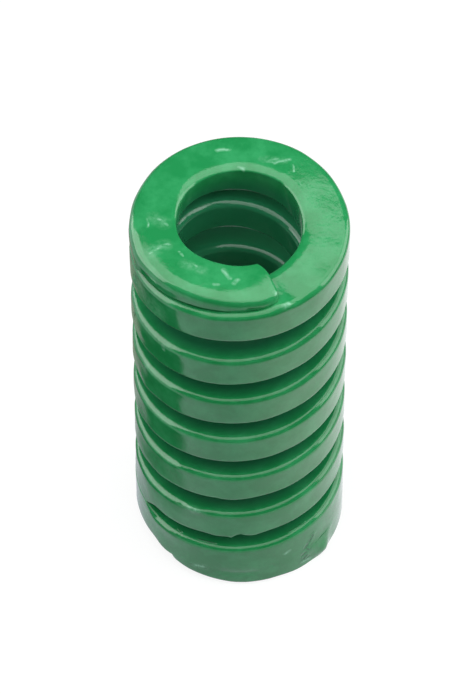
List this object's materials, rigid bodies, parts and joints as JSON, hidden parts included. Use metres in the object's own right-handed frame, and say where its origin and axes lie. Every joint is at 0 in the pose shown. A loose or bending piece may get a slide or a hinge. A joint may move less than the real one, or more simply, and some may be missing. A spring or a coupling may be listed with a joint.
{
  "type": "die spring",
  "caption": "Compression die spring of rectangular wire, coiled right-handed, closed and ground flat at both ends, in green enamel.",
  "frame": {"origin": "where the coil's axis meets the ground lower end, so that the spring stands on Z = 0", "axes": "+Z along the coil's axis, towards the other ground end; -Y is the side that the picture shows as the front"},
  "size_m": [0.019, 0.019, 0.041],
  "materials": {
    "green_enamel": "glossy green enamel"
  },
  "bodies": {
    "root": {"spring": "green_enamel"}
  },
  "joints": []
}
